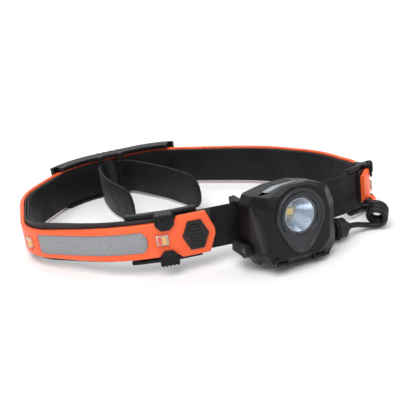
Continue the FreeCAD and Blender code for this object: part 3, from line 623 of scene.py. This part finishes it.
def band_reach(station):
    """Lowest and highest height of the band at a station."""
    if station > NECK - 6:
        if station > HEX_MIDDLE:
            half = max(1.5, HEX_HALF * min(1.0, (HEX_MIDDLE + 12.2 - station) / 5.0))
        else:
            widening = smooth_step(station, HEX_MIDDLE - 11.5, HEX_MIDDLE - 8.5)
            half = NECK_HALF + (HEX_HALF - NECK_HALF) * widening
        return HEX_MID_HEIGHT - half, HEX_MID_HEIGHT + half
    wide = smooth_step(station, FULL - 178, FULL - 96)
    rear = 1 - smooth_step(station, FULL - 215, FULL - 180)
    low = 3.6 - 1.5 * wide
    high = 21.5 + 1.5 * wide + 3.5 * rear + rear * smooth_step(station, 75, 90)
    start = smooth_step(station, BAND_RIGHT, BAND_RIGHT + 5)
    return low + 1.5 * (1 - start), high - 2.5 * (1 - start)


def tape_reach(station):
    """Half width of the tape's recess at a station, and how far it is cut in, 0 to 1.

    The end towards the lamp is drawn in to a blunt point and the other end is bevelled.
    """
    for _, first, last in TAPES:
        if first - 1 < station < last + 1:
            point_end = last if first > FULL / 2 else first
            blunt_end = first if first > FULL / 2 else last
            half = min(TAPE_HALF, 2.4 + abs(point_end - station) * 1.7,
                       5.0 + abs(blunt_end - station) * 1.1)
            depth = min(1.0, max(0.0, min(station - first, last - station) / 0.35))
            return half, depth
    return TAPE_HALF, 0.0


def band_ring(station):
    """Section of the band: square inside, rounded outside, with the tape's recess cut into its face."""
    low, high = band_reach(station)
    half, depth = tape_reach(station)
    cut = TAPE_DEPTH * depth
    rim = min(0.9, (high - low) / 2 - 0.05)
    ring = [(BAND_INNER, low + 0.3), (BAND_INNER + 0.3, low)]
    for i in range(6):
        angle = math.radians(90 * i / 5)
        ring.append((BAND_OUTER - rim + rim * math.sin(angle), low + rim - rim * math.cos(angle)))
    span_low = max(TAPE_MIDDLE - half, low + rim + 0.02)
    span_high = min(TAPE_MIDDLE + half, high - rim - 0.02)
    centre = (low + high) / 2
    span_low, span_high = min(span_low, centre), max(span_high, centre)
    ring += [(BAND_OUTER, span_low - 0.01), (BAND_OUTER - 0.35 * cut, min(span_low + 0.12, centre)),
             (BAND_OUTER - cut, min(span_low + 0.3, centre)),
             (BAND_OUTER - cut, max(span_high - 0.3, centre)),
             (BAND_OUTER - 0.35 * cut, max(span_high - 0.12, centre)), (BAND_OUTER, span_high + 0.01)]
    for i in range(6):
        angle = math.radians(90 - 90 * i / 5)
        ring.append((BAND_OUTER - rim + rim * math.sin(angle), high - rim + rim * math.cos(angle)))
    ring += [(BAND_INNER + 0.3, high), (BAND_INNER, high - 0.3)]
    return ring


def band_stations():
    """Stations of the band's sections, closer together at the tapes' ends and the hexagon."""
    stations = span(BAND_RIGHT, HEX_TIP, 1.5)
    for _, first, last in TAPES:
        stations += [first - 0.02, first + 0.15, first + 0.4, last - 0.4, last - 0.15, last + 0.02]
    stations += span(HEX_MIDDLE - 14, HEX_TIP, 0.5)
    return sorted(set(round(s, 3) for s in stations))


def make_band():
    """Orange band and the tape in each of its recesses."""
    band = sweep("light_band_skin", band_stations(), band_ring)
    finish_piece(band, ORANGE, "headband", ("light_band",), 45)
    for side, first, last in TAPES:
        def ring(station):
            half = tape_reach(station)[0] - 0.25
            low, high = TAPE_MIDDLE - half, TAPE_MIDDLE + half
            return rounded_box(BAND_OUTER - 0.9, BAND_OUTER - 0.5, low, high, 0.12, 2)
        tape = sweep("reflector_tape_" + side, span(first + 0.4, last - 0.4, 1.0), ring)
        finish_piece(tape, TAPE, "headband", (side + "_reflector",), 60)


make_band()


# name, first and last station, inner and outer offset, half height, material and slot
LIGHT_PARTS = (("base", -2.9, 2.9, 5.2, 5.6, 2.9, LIGHT_BASE, "clear_lens"),
               ("red", -2.3, -0.5, 5.5, 5.95, 2.2, LED_RED, "red_led"),
               ("yellow", 0.1, 1.9, 5.5, 5.95, 2.0, LED_YELLOW, "red_led"))


def make_lights():
    """Bright base with a red and a yellow chip under each clear lens of the band."""
    for side, station, height in LIGHTS:
        for name, first, last, inner, outer, reach, material, slot in LIGHT_PARTS:
            piece = bar("light_%s_%s" % (name, side), station + first, station + last, inner, outer,
                        height - reach, height + reach, 0.15, 1.0)
            finish_piece(piece, material, "headband")


make_lights()

# ---------------------------------------------------------------- clips
CLIPS = (("left_clip", FULL - 97.0, FULL - 55.5, FULL - 79.5, FULL - 69.5),
         ("right_clip", 46.5, 74.0, 62.2, 70.5))
CLIP_BACK, CLIP_INSIDE, CLIP_FRONT, CLAW_INSIDE, CLAW_FRONT = -2.5, -1.1, 1.15, 5.75, 7.2
CLIP_TOP, CLIP_BOTTOM, RAIL_TALL, RIBS = 25.4, -0.4, 2.4, 5


def claw(name, first, last, tip, end):
    """Hook over the band's edge whose free end narrows to a blunt point."""
    middle, half = (first + last) / 2, (last - first) / 2
    short = 3.4 if tip < end else -3.4

    def ring(station):
        aside = max(0.0, abs(station - middle) / half - 0.45) / 0.55
        low, high = sorted((tip + short * aside, end))
        return rounded_box(CLAW_INSIDE, CLAW_FRONT, low, high, 0.45)
    return sweep(name, span(first, last, 0.5), ring)


def make_clip(label, first, last, claw_first, claw_last):
    """Frame behind the strap with two rails, and ribbed claws that hold the band."""
    top, bottom = CLIP_TOP + RAIL_TALL, CLIP_BOTTOM - RAIL_TALL
    parts = [bar("rail_top", first, last, CLIP_BACK, CLIP_FRONT, CLIP_TOP, top, 0.5),
             bar("rail_bottom", first, last, CLIP_BACK, CLIP_FRONT, bottom, CLIP_BOTTOM, 0.5),
             bar("back", first + 3, last - 3, CLIP_BACK, CLIP_INSIDE, bottom + 1, top - 1, 0.3),
             bar("bridge_top", claw_first, claw_last, CLIP_FRONT - 0.6, CLAW_FRONT, CLIP_TOP, top, 0.5, 1.0),
             bar("bridge_bottom", claw_first, claw_last, CLIP_FRONT - 0.6, CLAW_FRONT, bottom, CLIP_BOTTOM,
                 0.5, 1.0),
             claw("claw_top", claw_first, claw_last, 18.6, top - 0.4),
             claw("claw_bottom", claw_first, claw_last, 6.2, bottom + 0.4)]
    for i in range(RIBS):
        rib = claw_first + 1.1 + (claw_last - claw_first - 2.2) * i / (RIBS - 1)
        for low, high in ((22.6, top + 0.5), (bottom - 0.3, 2.4)):
            parts.append(bar("rib", rib - 0.45, rib + 0.45, 4.2, CLAW_FRONT + 0.55, low, high, 0.4, 0.4))
    clip = joined(label + "_skin", parts)
    finish_piece(clip, CLIP, "headband", (label,))


for clip in CLIPS:
    make_clip(*clip)


# ---------------------------------------------------------------- lamp face
LENS_X, LENS_Z, RING_RADIUS, RING_BORE, RING_FRONT = -14.0, 27.3, 15.3, 10.6, -30.0


def teardrop(angle):
    """Reach of the bezel from the lens's middle: a circle drawn down into a lobe."""
    return RING_RADIUS + 5.6 * max(0.0, -math.sin(angle)) ** 6


# Sections of the bezel as (distance outwards, depth behind its front): from the edge of its bore to the
# dish, and from the dish to its outer rim.
BORE_SECTION = ((0, 3.0), (0, 0.9), (0.25, 0.35), (0.9, 0.0), (1.6, 0.05), (2.1, 0.45))
RIM_SECTION = ((-2.6, 0.7), (-2.1, 0.65), (-1.7, 0.1), (-1.2, -0.2), (-0.7, -0.1), (-0.2, 0.5), (0, 1.2),
               (0.15, 3.0))


def lens_ring(count, reach_at, depth):
    """Closed ring of points round the lens's axis, at a depth behind the bezel's front."""
    angles = [2 * math.pi * i / count for i in range(count)]
    return [in_head(LENS_X + reach_at(angle) * math.cos(angle), RING_FRONT + depth,
                    LENS_Z + reach_at(angle) * math.sin(angle)) for angle in angles]


def make_bezel():
    """Bezel with a flared bore, a shallow dish and a raised rim that follows the teardrop."""
    count = 96
    points = []
    for out, depth in BORE_SECTION:
        points += lens_ring(count, lambda angle: RING_BORE + out, depth)
    for out, depth in RIM_SECTION:
        points += lens_ring(count, lambda angle: teardrop(angle) + out, depth)
    faces = tube_faces(len(BORE_SECTION) + len(RIM_SECTION), count, closed=True)
    bezel = mesh_object("bezel", points, faces)
    finish_piece(bezel, BEZEL, "lamp_head", ("bezel_ring",), 50)


make_bezel()


def make_led_base():
    """Pale ceramic disc round the lamp's light source, at the foot of the reflector."""
    count = 48
    section = ((2.3, 13.5), (2.3, 13.2), (4.0, 13.2), (4.0, 13.5))
    points = []
    for radius, depth in section:
        points += lens_ring(count, lambda angle: radius, depth)
    disc = mesh_object("led_base", points, tube_faces(len(section), count, closed=True))
    finish_piece(disc, CERAMIC, "lamp_head")


make_led_base()


def housing_surface():
    """Corner points and faces of the lamp's two shells, in the frame."""
    points, faces = [], []
    for name in ("front_housing", "rear_housing"):
        node = nodes[name]
        start = len(points)
        points += [node.matrix_world @ vertex.co for vertex in node.data.vertices]
        faces += [[start + index for index in face.vertices] for face in node.data.polygons]
    return points, faces


def flank_point(housing, y, z):
    """Point of the housing's left flank at a y and z of the head's own frame, and its normal there."""
    away = in_head(-80, y, z)
    toward = (in_head(0, y, z) - away).normalized()
    spot, normal, _, _ = housing.ray_cast(away, toward)
    return spot, normal


# Flank panel: its top and bottom, how far its edges are sunk and its back is buried in the housing, and
# how far its face and its ridge rise above its edges.
PANEL_TOP, PANEL_BOTTOM, PANEL_SUNK, PANEL_DEEP, PANEL_PROUD, RIDGE_PROUD = 35.0, 7.0, 0.2, 0.8, 0.45, 0.75


def make_flank_panel():
    """Crescent-shaped raised panel with a ridge along its front edge, on the lamp's left flank."""
    housing = BVHTree.FromPolygons(*housing_surface())
    rows, across = 36, 12
    points = []
    for i in range(rows + 1):
        t = i / rows
        z = PANEL_TOP + (PANEL_BOTTOM - PANEL_TOP) * t
        back = -13.6 - 7.0 * t ** 2.2
        front = -14.2 - 8.6 * math.sin(math.pi * min(1.0, t * 0.62 + 0.05)) ** 1.3 - 1.4 * t
        outer, inner = [], []
        for k in range(across + 1):
            s = k / across
            ease = min(1.0, 6 * s, 6 * (1 - s)) * min(1.0, 8 * t, 8 * (1 - t))
            ridge = math.exp(-((s - 0.86) / 0.09) ** 2)
            spot, normal = flank_point(housing, back + (front - back) * s, z)
            outer.append(spot + normal * MM * (-PANEL_SUNK + ease * (PANEL_PROUD + RIDGE_PROUD * ridge)))
            inner.append(spot - normal * MM * PANEL_DEEP)
        points += outer + inner[::-1]
    panel = mesh_object("flank_panel", points, tube_faces(rows + 1, 2 * (across + 1)))
    finish_piece(panel, HEAD_SATIN, "lamp_head", sharp=60)


make_flank_panel()


# ---------------------------------------------------------------- floor, light and world
def add_light(name, data, place):
    """Light at a place, aimed at the middle of the headlamp."""
    light = bpy.data.objects.new(name, data)
    light.location = place
    light.rotation_euler = (Vector((0, 0, 0.02)) - Vector(place)).to_track_quat("-Z", "Y").to_euler()
    scene.collection.objects.link(light)


def make_stage():
    """Wide pale floor, a broad soft key light, two weaker lights and an even pale world."""
    bpy.ops.mesh.primitive_plane_add(size=40.0, location=(0, 0, -0.2 * MM))
    floor = bpy.context.object
    floor.name = "floor"
    paper = bpy.data.materials.new("floor")
    paper.use_nodes = True
    surface = paper.node_tree.nodes["Principled BSDF"]
    surface.inputs["Base Color"].default_value = (0.95, 0.95, 0.95, 1)
    surface.inputs["Roughness"].default_value = 0.9
    floor.data.materials.append(paper)
    sky = bpy.data.lights.new("key", "SUN")
    sky.energy = 2.3
    sky.angle = math.radians(50)
    add_light("key", sky, (-0.5, -0.5, 1.3))
    for name, place, size, power in (("fill", (0.8, -0.7, 0.6), 0.7, 2.0),
                                     ("back", (0.1, 0.9, 0.8), 0.8, 3.0)):
        lamp = bpy.data.lights.new(name, "AREA")
        lamp.size = size
        lamp.energy = power
        add_light(name, lamp, place)
    scene.world = bpy.data.worlds.new("studio")
    scene.world.use_nodes = True
    background = scene.world.node_tree.nodes["Background"]
    background.inputs["Color"].default_value = (0.96, 0.98, 1, 1)
    background.inputs["Strength"].default_value = 0.48
    scene.view_settings.view_transform = "Standard"


make_stage()


# ---------------------------------------------------------------- CAD parts that stay
for part in frame["record"]["subparts"]:
    node = nodes[part["node"]]
    node.data.materials.clear()
    node.data.materials.append(SLOTS[part["material_slot"]])

# Width in millimetres of the rounding on the edges of each visible CAD part.
EDGES = {"front_housing": 0.7, "rear_housing": 0.7, "battery_door": 0.3, "lamp_button": 0.35,
         "rear_plate": 0.7, "strap_bracket": 0.5, "right_adjuster_bar": 0.5, "left_adjuster_bar": 0.5,
         "band_button": 0.25, "band_button_bezel": 0.3, "cable_connector": 0.4,
         "cable_strain_relief": 0.25, "band_cable_gland": 0.3, "band_lens_front_left": 0.7,
         "band_lens_left": 0.7, "band_lens_right": 0.7, "band_lens_front_right": 0.7}
for name, width in EDGES.items():
    soften(nodes[name], width)
